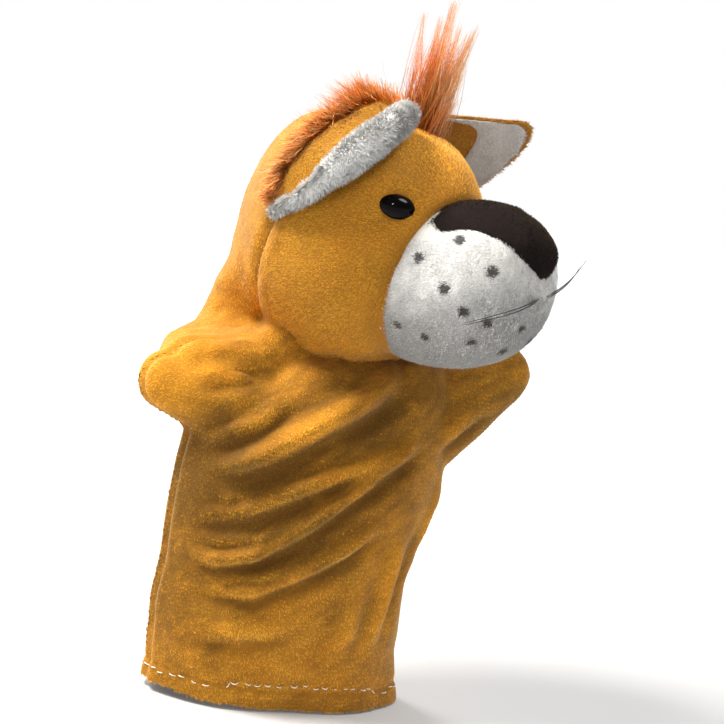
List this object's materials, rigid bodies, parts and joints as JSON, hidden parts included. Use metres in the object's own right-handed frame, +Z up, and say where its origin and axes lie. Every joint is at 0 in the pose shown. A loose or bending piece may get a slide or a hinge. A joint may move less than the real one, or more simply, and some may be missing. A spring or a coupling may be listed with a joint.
{
  "type": "hand puppet",
  "caption": "Plush glove puppet: an open hand sleeve with two short arms and a stuffed animal head with a round muzzle, ears and a standing hair tuft.",
  "frame": {"origin": "centre of the hand opening, in the plane of the hem", "axes": "+Z up the sleeve to the head, -Y towards the body's front, +X towards the puppet's own left arm"},
  "size_m": [0.1699, 0.1338, 0.2815],
  "materials": {
    "gold_velboa": "short pile with a soft sheen",
    "white_plush": "short fuzzy pile",
    "dark_plush": "short dark pile",
    "lining_cloth": "plain woven",
    "fibre_filling": "loose fibre",
    "mane_hair": "long fibre",
    "gold_thread": "twisted thread",
    "white_thread": "twisted thread",
    "black_eye": "polished",
    "washer_plastic": "moulded",
    "black_bristle": "satin filament"
  },
  "bodies": {
    "root": {"front_body_panel": "gold_velboa", "back_body_panel": "gold_velboa", "right_side_seam_thread": "gold_thread", "left_side_seam_thread": "gold_thread", "hem_stitching": "white_thread"},
    "neck": {"neck_sleeve": "gold_velboa"},
    "head": {"face_panel": "gold_velboa", "back_head_panel": "gold_velboa", "muzzle_cover": "white_plush", "muzzle_stuffing": "fibre_filling", "nose_patch": "dark_plush", "finger_pocket": "lining_cloth", "head_stuffing": "fibre_filling", "right_eye": "black_eye", "left_eye": "black_eye", "right_eye_washer": "washer_plastic", "left_eye_washer": "washer_plastic", "right_ear_outer": "gold_velboa", "right_ear_lining": "white_plush", "left_ear_outer": "gold_velboa", "left_ear_lining": "white_plush", "mane_base_tape": "mane_hair", "mane_tuft": "mane_hair", "mane_fringe": "mane_hair", "face_seam_thread": "gold_thread", "muzzle_seam_thread": "white_thread", "neck_seam_thread": "gold_thread", "right_whisker_bristles": "black_bristle", "left_whisker_bristles": "black_bristle"},
    "right_arm": {"right_arm_front_panel": "gold_velboa", "right_arm_back_panel": "gold_velboa", "right_arm_seam_thread": "gold_thread"},
    "left_arm": {"left_arm_front_panel": "gold_velboa", "left_arm_back_panel": "gold_velboa", "left_arm_seam_thread": "gold_thread"}
  },
  "joints": [
    {"name": "head_turn", "type": "hinge", "parent": "root", "child": "neck", "pos_m": [0.002, 0.006, 0.128], "axis": [0, 0, 1], "range_deg": [-45, 10]},
    {"name": "head_nod", "type": "hinge", "parent": "neck", "child": "head", "pos_m": [0.002, 0.006, 0.1426], "axis": [0.8387, 0.5446, 0], "range_deg": [-12, 12]},
    {"name": "right_arm_swing", "type": "hinge", "parent": "root", "child": "right_arm", "pos_m": [-0.05, 0, 0.117], "axis": [0.0872, 0, 0.9962], "range_deg": [-15, 35]},
    {"name": "left_arm_swing", "type": "hinge", "parent": "root", "child": "left_arm", "pos_m": [0.048, 0, 0.117], "axis": [0.6561, 0, -0.7547], "range_deg": [-15, 26]}
  ]
}
